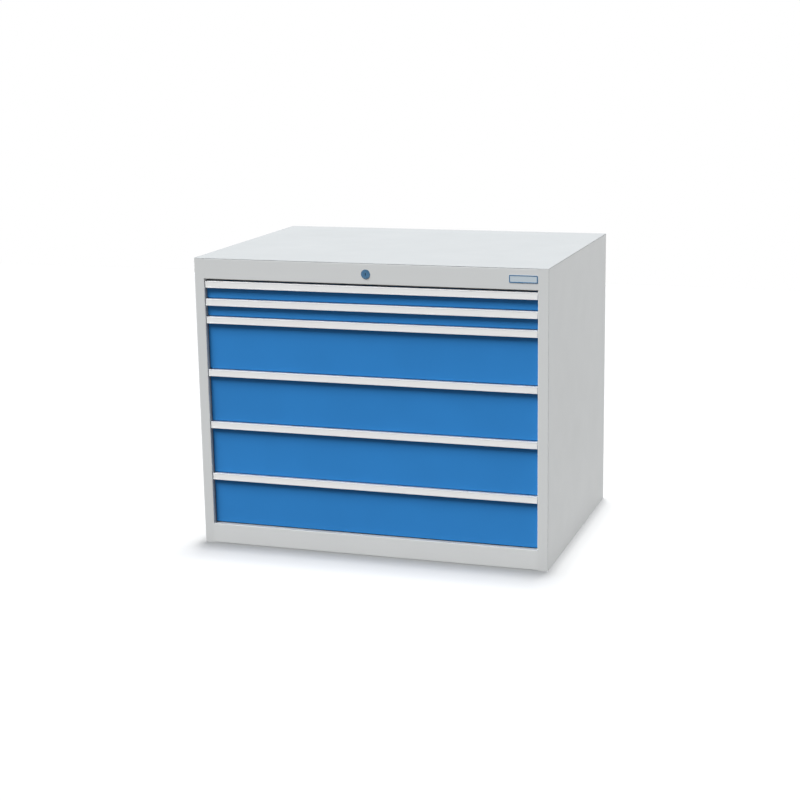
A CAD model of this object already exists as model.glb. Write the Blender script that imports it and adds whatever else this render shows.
import math

import bmesh
import bpy
from mathutils import Matrix, Vector


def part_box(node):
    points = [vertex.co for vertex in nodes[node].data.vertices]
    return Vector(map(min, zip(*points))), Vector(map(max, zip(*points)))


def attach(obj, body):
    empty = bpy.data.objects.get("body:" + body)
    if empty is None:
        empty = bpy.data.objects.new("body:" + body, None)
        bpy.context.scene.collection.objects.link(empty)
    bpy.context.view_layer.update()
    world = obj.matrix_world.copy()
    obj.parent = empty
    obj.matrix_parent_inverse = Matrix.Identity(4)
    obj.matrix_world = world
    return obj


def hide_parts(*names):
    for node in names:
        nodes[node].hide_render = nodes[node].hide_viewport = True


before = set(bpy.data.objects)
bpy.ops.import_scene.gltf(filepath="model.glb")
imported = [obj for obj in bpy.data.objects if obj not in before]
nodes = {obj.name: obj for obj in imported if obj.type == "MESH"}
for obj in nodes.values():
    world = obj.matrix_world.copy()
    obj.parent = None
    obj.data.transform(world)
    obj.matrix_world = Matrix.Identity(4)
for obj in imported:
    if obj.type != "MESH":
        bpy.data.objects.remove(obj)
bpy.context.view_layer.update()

# Workshop drawer cabinet: light grey powder-coated casing, six blue fronts with pale handle strips.
# Metres, X to the right, -Y out of the fronts, Z up.

drawers = range(1, 7)
white = (1.0, 1.0, 1.0)


def ofDrawers(*kinds):
    # Names of the same pieces on all drawers
    return [f"drawer_{number}_{kind}" for number in drawers for kind in kinds]


def inScene(name, data):
    item = bpy.data.objects.new(name, data)
    bpy.context.scene.collection.objects.link(item)
    return item


def paint(mesh, material):
    mesh.materials.clear()
    mesh.materials.append(material)


# Small node helpers

def addNode(tree, kind, **settings):
    node = tree.nodes.new(kind)
    for key, value in settings.items():
        setattr(node, key, value)
    return node


def feed(tree, node, **values):
    # Links or sets inputs; spaces in a socket's name are written as underscores
    for key, value in values.items():
        socket = node.inputs[key.replace("_", " ")]
        if isinstance(value, bpy.types.NodeSocket):
            tree.links.new(value, socket)
        else:
            socket.default_value = value
    return node


def maths(tree, operation, *values):
    node = addNode(tree, "ShaderNodeMath", operation=operation)
    for socket, value in zip(node.inputs, values):
        if isinstance(value, bpy.types.NodeSocket):
            tree.links.new(value, socket)
        else:
            socket.default_value = value
    return node.outputs["Value"]


def shaderOf(material):
    return material.node_tree, material.node_tree.nodes["Principled BSDF"]


def newMaterial(name):
    material = bpy.data.materials.new(name)
    material.use_nodes = True
    return material, *shaderOf(material)


def objectNoise(tree, scale, detail, stretch=(1, 1, 1)):
    # Noise in the object's own metres; stretch draws it out along an axis
    place = addNode(tree, "ShaderNodeTexCoord").outputs["Object"]
    mapping = feed(tree, addNode(tree, "ShaderNodeMapping"), Vector=place, Scale=stretch)
    noise = feed(tree, addNode(tree, "ShaderNodeTexNoise"), Vector=mapping.outputs["Vector"],
                 Scale=scale, Detail=detail)
    return noise.outputs["Fac"]


def objectAxes(tree):
    place = addNode(tree, "ShaderNodeTexCoord").outputs["Object"]
    return feed(tree, addNode(tree, "ShaderNodeSeparateXYZ"), Vector=place).outputs


def mapped(tree, value, low, high, fromLow=0.3, fromHigh=0.7):
    # A noise lies mostly between 0.3 and 0.7
    ramp = feed(tree, addNode(tree, "ShaderNodeMapRange"), Value=value, From_Min=fromLow,
                From_Max=fromHigh, To_Min=low, To_Max=high)
    return ramp.outputs["Result"]


def shaded(colour, share=1.0):
    # A share of a colour, with the alpha that sockets ask for
    return (*(channel * share for channel in colour), 1.0)


def mixed(tree, factor, first, second):
    mix = addNode(tree, "ShaderNodeMix", data_type="RGBA")
    return feed(tree, mix, Factor=factor, A=first, B=second).outputs["Result"]


def cloudy(tree, noise, look):
    # The colour, a little darker and lighter by turns
    return mixed(tree, mapped(tree, noise, 0, 1), shaded(look["colour"], 1 - look["cloud"]),
                 shaded(look["colour"], 1 + look["cloud"]))


def roughened(tree, noise, look):
    return mapped(tree, noise, look["roughness"] - look["smoother"], look["roughness"] + look["rougher"])


def bump(tree, shader, height, distance):
    # Adds to the relief that the shader already has
    node = feed(tree, addNode(tree, "ShaderNodeBump"), Distance=distance, Height=height)
    for link in shader.inputs["Normal"].links:
        feed(tree, node, Normal=link.from_socket)
    feed(tree, shader, Normal=node.outputs["Normal"])


# Finishes

def powderCoat(name, look):
    # Baked powder: soft orange peel, a finer grain on it, and a faint cloudiness of the tone
    material, tree, shader = newMaterial(name)
    clouds = objectNoise(tree, look["cloudScale"], detail=3)
    handling = objectNoise(tree, look["cloudScale"] * look["handlingScale"], detail=4)
    feed(tree, shader, Base_Color=cloudy(tree, clouds, look), Roughness=roughened(tree, handling, look),
         Specular_IOR_Level=look["gloss"])
    bump(tree, shader, objectNoise(tree, look["peelScale"], detail=1), look["peelHeight"])
    bump(tree, shader, objectNoise(tree, look["grainScale"], detail=2), look["grainHeight"])
    return material


def drawnMetal(name, look):
    # Metal with fine lines along X from drawing or rolling
    material, tree, shader = newMaterial(name)
    lines = objectNoise(tree, look["lineScale"], detail=3, stretch=look["stretch"])
    feed(tree, shader, Base_Color=cloudy(tree, lines, look), Roughness=roughened(tree, lines, look),
         Metallic=look["metallic"])
    bump(tree, shader, lines, look["lineHeight"])
    return material


def zincPlate(name, look):
    # Plated steel: cool and warm patches of the passivation, fine pickled grain
    material, tree, shader = newMaterial(name)
    patches = mapped(tree, objectNoise(tree, look["patchScale"], detail=4), 0, 1, *look["patchEdge"])
    grain = objectNoise(tree, look["grainScale"], detail=3)
    tone = mixed(tree, patches, shaded(look["coolColour"]), shaded(look["warmColour"]))
    feed(tree, shader, Base_Color=tone, Roughness=roughened(tree, grain, look), Metallic=1.0)
    bump(tree, shader, grain, look["grainHeight"])
    return material


powderGrain = {"handlingScale": 2.3, "smoother": 0.04, "rougher": 0.05, "peelScale": 420.0,
               "peelHeight": 0.00005, "grainScale": 1700.0, "grainHeight": 0.000008}
casingLook = {"colour": (0.59, 0.6, 0.6), "cloud": 0.012, "cloudScale": 5.0, "roughness": 0.46,
              "gloss": 0.15, **powderGrain}
frontLook = {"colour": (0.027, 0.195, 0.507), "cloud": 0.03, "cloudScale": 6.0, "roughness": 0.42,
             "gloss": 0.12, **powderGrain}
trayLook = {"colour": (0.56, 0.57, 0.565), "cloud": 0.015, "cloudScale": 7.0, "roughness": 0.5,
            "gloss": 0.4, **powderGrain}

stripLook = {"colour": (0.69, 0.7, 0.713), "cloud": 0.02, "lineScale": 900.0, "lineHeight": 0.00001,
             "stretch": (0.012, 1, 1), "roughness": 0.42, "smoother": 0.06, "rougher": 0.06,
             "metallic": 0.25}

zincGrain = {"patchEdge": (0.35, 0.65), "smoother": 0.08, "rougher": 0.1}
railLook = {"coolColour": (0.50, 0.53, 0.56), "warmColour": (0.60, 0.58, 0.52), "patchScale": 16.0,
            "grainScale": 900.0, "grainHeight": 0.00001, "roughness": 0.34, **zincGrain}
rollerLook = {"coolColour": (0.42, 0.43, 0.44), "warmColour": (0.50, 0.50, 0.49), "patchScale": 60.0,
              "grainScale": 1500.0, "grainHeight": 0.000006, "roughness": 0.24, **zincGrain}
chromeLook = {"coolColour": (0.06, 0.145, 0.25), "warmColour": (0.085, 0.185, 0.31), "patchScale": 90.0,
              "grainScale": 2500.0, "grainHeight": 0.000003, "roughness": 0.16, **zincGrain}


# Bare plate on the top rail

plateLook = {"rimColour": (0.015, 0.12, 0.27), "fieldColour": (0.46, 0.53, 0.58), "stepY": -0.3688,
             "lineScale": 1200.0, "lineHeight": 0.000006, "stretch": (0.02, 1, 1),
             "roughness": 0.3, "smoother": 0.0, "rougher": 0.12}


def plateFinish(look):
    # Blue enamel on the raised rim, satin metal in the sunk field
    material, tree, shader = newMaterial("plateFinish")
    inField = maths(tree, "GREATER_THAN", objectAxes(tree)["Y"], look["stepY"])
    tone = mixed(tree, inField, shaded(look["rimColour"]), shaded(look["fieldColour"]))
    lines = objectNoise(tree, look["lineScale"], detail=2, stretch=look["stretch"])
    feed(tree, shader, Base_Color=tone, Roughness=roughened(tree, lines, look))
    bump(tree, shader, lines, look["lineHeight"])
    return material


# Lock plug

keyholeLook = {"colour": (0.004, 0.012, 0.03), "insideY": -0.3692}


def keyholeDark(material, look):
    # Behind the face of the plug lies the keyhole, which hardly gets light
    tree, shader = shaderOf(material)
    inside = maths(tree, "GREATER_THAN", objectAxes(tree)["Y"], look["insideY"])
    outside = shader.inputs["Base Color"].links[0].from_socket
    feed(tree, shader, Base_Color=mixed(tree, inside, outside, shaded(look["colour"])))
    return material


# Side walls

weldLook = {"fromMiddle": 0.4925, "pitch": 0.075, "radius": 0.0032, "flatShare": 0.6, "depth": 0.0003,
            "backY": 0.367}


def weldMarks(material, look):
    # Shallow round dimples of the spot welds down both rear flanges
    tree, shader = shaderOf(material)
    axes = objectAxes(tree)
    across = maths(tree, "SUBTRACT", maths(tree, "ABSOLUTE", axes["X"]), look["fromMiddle"])
    along = maths(tree, "PINGPONG", axes["Z"], look["pitch"] / 2)
    squares = [maths(tree, "POWER", offset, 2) for offset in (across, along)]
    distance = maths(tree, "SQRT", maths(tree, "ADD", *squares))
    outside = mapped(tree, distance, 0, 1, look["radius"] * look["flatShare"], look["radius"])
    atBack = maths(tree, "GREATER_THAN", axes["Y"], look["backY"])
    dimple = maths(tree, "MULTIPLY", maths(tree, "SUBTRACT", 1, outside), atBack)
    bump(tree, shader, maths(tree, "SUBTRACT", 1, dimple), look["depth"])
    return material


trayPaint = powderCoat("trayPaint", trayLook)
rollerSteel = zincPlate("rollerSteel", rollerLook)
finishes = {
    weldMarks(powderCoat("wallPaint", casingLook), weldLook): ["right_wall", "left_wall"],
    powderCoat("casingPaint", casingLook): [
        "top_cover", "cover_stiffeners", "top_front_rail", "base_front_rail", "base_rear_rail",
        "floor_panel", "back_panel", "runner_uprights"],
    zincPlate("railZinc", railLook): [
        "cabinet_rails", "lock_guides", "lock_cam", "lock_link", "lock_bar", *ofDrawers("middle_rails")],
    zincPlate("lockChrome", chromeLook): ["lock_housing"],
    keyholeDark(zincPlate("plugChrome", chromeLook), keyholeLook): ["lock_plug"],
    plateFinish(plateLook): ["brand_plate"],
    trayPaint: ofDrawers("tray"),
    powderCoat("frontPaint", frontLook): ofDrawers("front"),
    drawnMetal("stripMetal", stripLook): ofDrawers("handle"),
    rollerSteel: ofDrawers("front_rollers", "middle_rollers", "rear_rollers"),
}

for material, names in finishes.items():
    for name in names:
        paint(nodes[name].data, material)
print("finishes:", len(finishes))


# Trees of Geometry Nodes: their sizes come in by name, and the result is kept as a plain mesh

def newTree(name, sizes):
    # sizes gives each named input its type
    tree = bpy.data.node_groups.new(name, "GeometryNodeTree")
    tree.interface.new_socket("Geometry", in_out="INPUT", socket_type="NodeSocketGeometry")
    tree.interface.new_socket("Geometry", in_out="OUTPUT", socket_type="NodeSocketGeometry")
    for label, kind in sizes.items():
        tree.interface.new_socket(label, in_out="INPUT", socket_type="NodeSocket" + kind)
    return tree, addNode(tree, "NodeGroupInput").outputs


def vector(tree, x=0.0, y=0.0, z=0.0):
    return feed(tree, addNode(tree, "ShaderNodeCombineXYZ"), X=x, Y=y, Z=z).outputs["Vector"]


def box(tree, x, y, z):
    return feed(tree, addNode(tree, "GeometryNodeMeshCube"), Size=vector(tree, x, y, z)).outputs["Mesh"]


def pointLine(tree, count, start, step):
    node = addNode(tree, "GeometryNodeMeshLine", mode="OFFSET")
    return feed(tree, node, Count=count, Start_Location=start, Offset=step).outputs["Mesh"]


def centredLine(tree, count, pitch, axis="x"):
    # Points along an axis, the middle of the row at the origin
    span = maths(tree, "MULTIPLY", maths(tree, "SUBTRACT", count, 1), pitch)
    start = maths(tree, "MULTIPLY", span, -0.5)
    return pointLine(tree, count, vector(tree, **{axis: start}), vector(tree, **{axis: pitch}))


def onPoints(tree, points, shape):
    node = addNode(tree, "GeometryNodeInstanceOnPoints")
    return feed(tree, node, Points=points, Instance=shape).outputs["Instances"]


def moved(tree, geometry, place, turn=(0, 0, 0)):
    node = feed(tree, addNode(tree, "GeometryNodeTransform"), Geometry=geometry, Translation=place,
                Rotation=[math.radians(angle) for angle in turn])
    return node.outputs["Geometry"]


def joined(tree, *parts):
    node = addNode(tree, "GeometryNodeJoinGeometry")
    for part in parts:
        feed(tree, node, Geometry=part)
    return node.outputs["Geometry"]


def realized(tree, geometry):
    return feed(tree, addNode(tree, "GeometryNodeRealizeInstances"), Geometry=geometry).outputs["Geometry"]


def without(tree, body, cutters):
    node = addNode(tree, "GeometryNodeMeshBoolean", operation="DIFFERENCE", solver="EXACT")
    return feed(tree, node, Mesh_1=body, Mesh_2=realized(tree, cutters)).outputs["Mesh"]


def endTree(tree, geometry, material):
    painted = feed(tree, addNode(tree, "GeometryNodeSetMaterial"), Geometry=realized(tree, geometry),
                   Material=material)
    feed(tree, addNode(tree, "NodeGroupOutput"), Geometry=painted.outputs["Geometry"])
    return tree


def grown(name, tree, start, values):
    # Runs a tree on a start mesh, with its inputs set by name, and keeps the plain result
    piece = inScene(name, start)
    modifier = piece.modifiers.new(name, "NODES")
    modifier.node_group = tree
    for socket in tree.interface.items_tree:
        if socket.in_out == "INPUT" and socket.name in values:
            modifier[socket.identifier] = values[socket.name]
    view = bpy.context.evaluated_depsgraph_get()
    mesh = bpy.data.meshes.new_from_object(piece.evaluated_get(view))
    piece.modifiers.remove(modifier)
    piece.data = mesh
    mesh.name = name
    return piece


def smoothFolds(mesh, angle):
    mesh.shade_smooth()
    mesh.set_sharp_from_angle(angle=math.radians(angle))


# Trays: slots for dividers in all four walls

slotLook = {"width": 0.003, "pitch": 0.025, "across": 35, "along": 23, "cut": 0.012,
            "foldAngle": 30, "mergeWithin": 0.000001, "shallowDrawers": (1, 2),
            "shallow": {"height": 0.018, "lowest": 0.0155, "rows": 1, "spacing": 0.0},
            "deep": {"height": 0.026, "lowest": 0.0235, "rows": 3, "spacing": 0.041}}


def slotTree():
    # Rows of upright slots, cut through the walls that lie on the limits of the incoming box
    tree, size = newTree("slottedWalls", {
        "Slot Width": "Float", "Slot Height": "Float", "Cut": "Float", "Pitch": "Float", "Across": "Int",
        "Along": "Int", "Lowest": "Float", "Spacing": "Float", "Rows": "Int", "Material": "Material"})
    limits = feed(tree, addNode(tree, "GeometryNodeBoundBox"), Geometry=size["Geometry"]).outputs
    low, high = (feed(tree, addNode(tree, "ShaderNodeSeparateXYZ"), Vector=limits[end]).outputs
                 for end in ("Min", "Max"))
    middleX, middleY = (maths(tree, "MULTIPLY", maths(tree, "ADD", low[axis], high[axis]), 0.5)
                        for axis in ("X", "Y"))
    level = maths(tree, "ADD", low["Z"], size["Lowest"])

    def rows(cutter, count, axis):
        # A column of cutters on each point of a line that is centred on its wall
        column = pointLine(tree, size["Rows"], vector(tree), vector(tree, z=size["Spacing"]))
        line = centredLine(tree, size[count], size["Pitch"], axis)
        return onPoints(tree, line, onPoints(tree, column, cutter))

    across = rows(box(tree, size["Slot Width"], size["Cut"], size["Slot Height"]), "Across", "x")
    along = rows(box(tree, size["Cut"], size["Slot Width"], size["Slot Height"]), "Along", "y")
    cutters = [moved(tree, across, vector(tree, middleX, wall["Y"], level)) for wall in (low, high)]
    cutters += [moved(tree, along, vector(tree, wall["X"], middleY, level)) for wall in (low, high)]
    return endTree(tree, without(tree, size["Geometry"], joined(tree, *cutters)), size["Material"])


def meshWidth(mesh):
    across = [vert.co.x for vert in mesh.vertices]
    return max(across) - min(across)


def looseSolids(name, mergeWithin):
    # A CAD mesh is loose triangles: merged first, then one mesh per closed solid, the widest first.
    # Lists keep the order, so every run gives the same mesh.
    shape = bmesh.new()
    shape.from_mesh(nodes[name].data)
    bmesh.ops.remove_doubles(shape, verts=shape.verts, dist=mergeWithin)
    seen, meshes = set(), []
    for first in shape.verts:
        if first in seen:
            continue
        seen.add(first)
        group = [first]
        for vert in group:  # grows while it is walked
            for other in [edge.other_vert(vert) for edge in vert.link_edges]:
                if other not in seen:
                    seen.add(other)
                    group.append(other)
        order = {vert: place for place, vert in enumerate(group)}
        faces = [[order[vert] for vert in face.verts] for face in shape.faces if face.verts[0] in order]
        mesh = bpy.data.meshes.new(f"{name}_{len(meshes)}")
        mesh.from_pydata([vert.co.copy() for vert in group], [], faces)
        meshes.append(mesh)
    shape.free()
    return sorted(meshes, key=meshWidth, reverse=True)


def slottedTray(number, look, tree):
    # Only the sheet of the tray is slotted; its runners and its catch are added again after that
    node = f"drawer_{number}_tray"
    sheet, *others = looseSolids(node, look["mergeWithin"])
    row = look["shallow" if number in look["shallowDrawers"] else "deep"]
    tray = grown(f"drawer_{number}_slotted_tray", tree, sheet, {
        "Slot Width": look["width"], "Slot Height": row["height"], "Cut": look["cut"],
        "Pitch": look["pitch"], "Across": look["across"], "Along": look["along"],
        "Lowest": row["lowest"], "Spacing": row["spacing"], "Rows": row["rows"], "Material": trayPaint})
    shape = bmesh.new()
    for mesh in (tray.data, *others):
        shape.from_mesh(mesh)
    shape.to_mesh(tray.data)
    shape.free()
    smoothFolds(tray.data, look["foldAngle"])
    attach(tray, f"drawer_{number}")
    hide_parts(node)
    return tray


slots = slotTree()
for number in drawers:
    tray = slottedTray(number, slotLook, slots)
    print("slotted tray:", number, len(tray.data.polygons), "faces")


# Pan-head screws through the front wall of each tray into the lip of its front

screwLook = {"headRadius": 0.004, "headHeight": 0.0024, "sides": 20, "taper": 0.72, "crossWidth": 0.0009,
             "crossLength": 0.0046, "crossDepth": 0.0012, "count": 6, "pitch": 0.15, "wall": 0.00125,
             "rise": 0.00575, "foldAngle": 40}


def screwTree():
    tree, size = newTree("panHeadScrews", {
        "Head Radius": "Float", "Head Height": "Float", "Sides": "Int", "Taper": "Float",
        "Cross Width": "Float", "Cross Length": "Float", "Cross Depth": "Float", "Count": "Int",
        "Pitch": "Float", "Place": "Vector", "Material": "Material"})
    cone = feed(tree, addNode(tree, "GeometryNodeMeshCone"), Vertices=size["Sides"],
                Radius_Bottom=size["Head Radius"], Depth=size["Head Height"],
                Radius_Top=maths(tree, "MULTIPLY", size["Head Radius"], size["Taper"]))
    head, depth = cone.outputs["Mesh"], maths(tree, "MULTIPLY", size["Cross Depth"], 2)
    for long, short in (("Cross Length", "Cross Width"), ("Cross Width", "Cross Length")):
        # One bar of the cross at a time: cutters that cross each other leave an empty mesh
        bar = box(tree, size[long], size[short], depth)
        head = without(tree, head, moved(tree, bar, vector(tree, z=size["Head Height"])))
    screw = moved(tree, head, vector(tree), turn=(-90, 0, 0))  # the head looks into the tray
    line = moved(tree, centredLine(tree, size["Count"], size["Pitch"]), size["Place"])
    return endTree(tree, onPoints(tree, line, screw), size["Material"])


def trayScrews(number, look, tree):
    # On the inside of the tray's front wall, which starts where the front ends, just above its floor
    front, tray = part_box(f"drawer_{number}_front")[1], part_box(f"drawer_{number}_tray")[0]
    screws = grown(f"drawer_{number}_screws", tree, bpy.data.meshes.new("screws"), {
        "Head Radius": look["headRadius"], "Head Height": look["headHeight"], "Sides": look["sides"],
        "Taper": look["taper"], "Cross Width": look["crossWidth"], "Cross Length": look["crossLength"],
        "Cross Depth": look["crossDepth"], "Count": look["count"], "Pitch": look["pitch"],
        "Place": (0.0, front.y + look["wall"], tray.z + look["rise"]), "Material": rollerSteel})
    smoothFolds(screws.data, look["foldAngle"])
    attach(screws, f"drawer_{number}")


screws = screwTree()
for number in drawers:
    trayScrews(number, screwLook, screws)
print("screws:", len(drawers) * screwLook["count"])


# Label inserts in the strips

labelStrip = {"thickness": 0.0003, "endRoom": 0.0015, "edgeRoom": 0.0002, "rim": 0.003, "recess": 0.0006,
              "colour": (0.76, 0.76, 0.755), "cloud": 0.015, "fibreScale": 1500.0, "roughness": 0.55,
              "filmGloss": 0.6, "filmRoughness": 0.12}


def labelPaper(look):
    material, tree, shader = newMaterial("labelPaper")
    fibres = objectNoise(tree, look["fibreScale"], detail=3)
    feed(tree, shader, Base_Color=cloudy(tree, fibres, look), Roughness=look["roughness"],
         Coat_Weight=look["filmGloss"], Coat_Roughness=look["filmRoughness"])
    return material


def makeLabel(number, settings, material):
    # Card under a clear film, held behind the two rims of the strip
    low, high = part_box(f"drawer_{number}_handle")
    y = low.y + settings["recess"]
    size = Vector((high.x - low.x - 2 * settings["endRoom"], settings["thickness"],
                   high.z - low.z - 2 * (settings["rim"] + settings["edgeRoom"])))
    centre = Vector(((low.x + high.x) / 2, y - settings["thickness"] / 2, (low.z + high.z) / 2))
    mesh = bpy.data.meshes.new(f"label_{number}")
    shape = bmesh.new()
    bmesh.ops.create_cube(shape, size=1)
    for vert in shape.verts:
        vert.co = vert.co * size + centre
    shape.to_mesh(mesh)
    shape.free()
    paint(mesh, material)
    label = inScene(f"drawer_{number}_label", mesh)
    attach(label, f"drawer_{number}")


paper = labelPaper(labelStrip)
for number in drawers:
    makeLabel(number, labelStrip, paper)
print("labels:", len(drawers))


# Floor and backdrop

stageLook = {"floorSize": 9.0, "floorColour": 0.5, "floorBounce": 0.15, "floorRoughness": 0.9,
             "floorGlow": 0.215, "glowTint": (0.97, 1.0, 1.03), "worldLight": 0.22,
             "worldTint": (0.94, 0.98, 1.0)}


def seenDirectly(tree):
    # 1 where the camera or a reflection looks, 0 for light that only bounces
    rays = addNode(tree, "ShaderNodeLightPath").outputs
    return maths(tree, "MAXIMUM", rays["Is Camera Ray"], rays["Is Glossy Ray"])


def studioFloor(settings):
    # White floor: the lamps above it draw the shadow, and a glow for the camera lifts the rest to white
    mesh = bpy.data.meshes.new("floor")
    half = settings["floorSize"] / 2
    corners = [(-half, -half, 0), (half, -half, 0), (half, half, 0), (-half, half, 0)]
    mesh.from_pydata(corners, [], [(0, 1, 2, 3)])
    floor = inScene("floor", mesh)
    material, tree, shader = newMaterial("floorWhite")
    seen = seenDirectly(tree)
    tone = mixed(tree, seen, shaded(white, settings["floorBounce"]), shaded(white, settings["floorColour"]))
    feed(tree, shader, Base_Color=tone, Roughness=settings["floorRoughness"], Specular_IOR_Level=0.0,
         Emission_Color=shaded(settings["glowTint"]),
         Emission_Strength=maths(tree, "MULTIPLY", seen, settings["floorGlow"]))
    paint(mesh, material)


def studioWorld(settings):
    # Even light from all round; plain white where the camera or a reflection looks at it
    world = bpy.data.worlds.new("studio")
    bpy.context.scene.world = world
    world.use_nodes = True
    tree = world.node_tree
    ambient = shaded(settings["worldTint"], settings["worldLight"])
    feed(tree, tree.nodes["Background"], Color=mixed(tree, seenDirectly(tree), ambient, shaded(white)))


studioFloor(stageLook)
studioWorld(stageLook)
print("floor and backdrop set")


# Lamps, each with its azimuth (0 in front, positive to the right) and elevation.
# The steep key draws the shadows under the strips. It would burn out what faces up, so weaker lamps
# stand in for it on the cover and the trays, and on the strips and the base rail. The lock has none.
flatLit = ["base_front_rail", *ofDrawers("handle")]
upLit = ["top_cover", *ofDrawers("slotted_tray")]
lock = ["lock_housing", "lock_plug"]
bareRails = ["cabinet_rails", *ofDrawers("middle_rails")]  # they mirror a low lamp on the right
farLamps = {
    "key": {"azimuth": -42, "elevation": 58, "strength": 5.7, "softness": 36,
            "skips": ["floor", *upLit, *flatLit, *lock]},
    "faceKey": {"azimuth": -42, "elevation": 28, "strength": 3.72, "softness": 24, "only": flatLit},
    "coverKey": {"azimuth": -42, "elevation": 60, "strength": 3.72, "softness": 36, "only": upLit,
                 "colour": (0.96, 0.99, 1.02)},
    "rightFill": {"azimuth": 94, "elevation": 7, "strength": 1.65, "softness": 12,
                  "skips": ["floor", "top_cover", *bareRails]},
    "backFill": {"azimuth": 180, "elevation": 10, "strength": 2.0, "softness": 24,
                 "skips": ["floor", "top_cover", *flatLit]},
}
# High above, for the floor only: one draws the wide soft shadow, one the line right under the base
floorLamps = {
    "wideFloorLamp": {"height": 30.0, "size": (4.2, 5.8), "shift": (-0.15, 3.1), "watts": 9150.0},
    "nearFloorLamp": {"height": 30.0, "size": (0.9, 2.6), "shift": (0.0, 1.3), "watts": 4100.0},
}
standOff = 4.0  # only places the lamp in the viewport, a sun shines the same from anywhere


def linkLight(lamp, pieces, state):
    # INCLUDE lights these pieces only, EXCLUDE lights all but these
    receivers = bpy.data.collections.new(lamp.name + "Receivers")
    for piece in pieces:
        receivers.objects.link(nodes.get(piece) or bpy.data.objects[piece])
    for member in receivers.collection_objects:
        member.light_linking.link_state = state
    lamp.light_linking.receiver_collection = receivers


def farLamp(name, settings):
    light = bpy.data.lights.new(name, "SUN")
    light.energy = settings["strength"]
    light.angle = math.radians(settings["softness"])
    light.color = settings.get("colour", white)
    azimuth, elevation = math.radians(settings["azimuth"]), math.radians(settings["elevation"])
    source = Vector((math.sin(azimuth) * math.cos(elevation), -math.cos(azimuth) * math.cos(elevation),
                     math.sin(elevation)))
    lamp = inScene(name, light)
    lamp.location = standOff * source
    lamp.rotation_euler = source.to_track_quat("Z", "Y").to_euler()
    if "only" in settings:
        linkLight(lamp, settings["only"], "INCLUDE")
    else:
        linkLight(lamp, settings["skips"], "EXCLUDE")


def floorLamp(name, settings):
    light = bpy.data.lights.new(name, "AREA")
    light.shape = "RECTANGLE"
    light.size, light.size_y = settings["size"]
    light.energy = settings["watts"]
    lamp = inScene(name, light)
    lamp.location = (*settings["shift"], settings["height"])
    linkLight(lamp, ["floor"], "INCLUDE")


for name, settings in farLamps.items():
    farLamp(name, settings)
for name, settings in floorLamps.items():
    floorLamp(name, settings)
print("lamps:", len(farLamps) + len(floorLamps))


# Camera, worked out from the edge lines of the casing and the strips in the photograph

cameraSetup = {"place": (1.48916, -4.54973, 1.4529), "azimuth": 18.48, "down": 12.825, "roll": -0.931,
               "focalPixels": 1674.11, "framePixels": 800, "sensor": 36.0}


def photoCamera(settings):
    azimuth, down, roll = (math.radians(settings[key]) for key in ("azimuth", "down", "roll"))
    ahead = Vector((-math.sin(azimuth) * math.cos(down), math.cos(azimuth) * math.cos(down),
                    -math.sin(down)))
    level = Vector((math.cos(azimuth), math.sin(azimuth), 0))
    upright = level.cross(ahead)
    right = math.cos(roll) * level + math.sin(roll) * upright
    up = -math.sin(roll) * level + math.cos(roll) * upright
    data = bpy.data.cameras.new("camera")
    data.sensor_width = settings["sensor"]
    data.lens = settings["sensor"] * settings["focalPixels"] / settings["framePixels"]
    camera = inScene("camera", data)
    turned = Matrix((right, up, -ahead)).transposed().to_4x4()
    camera.matrix_world = Matrix.Translation(Vector(settings["place"])) @ turned
    bpy.context.scene.camera = camera


photoCamera(cameraSetup)
bpy.context.scene.view_settings.view_transform = "Standard"
print("camera set")
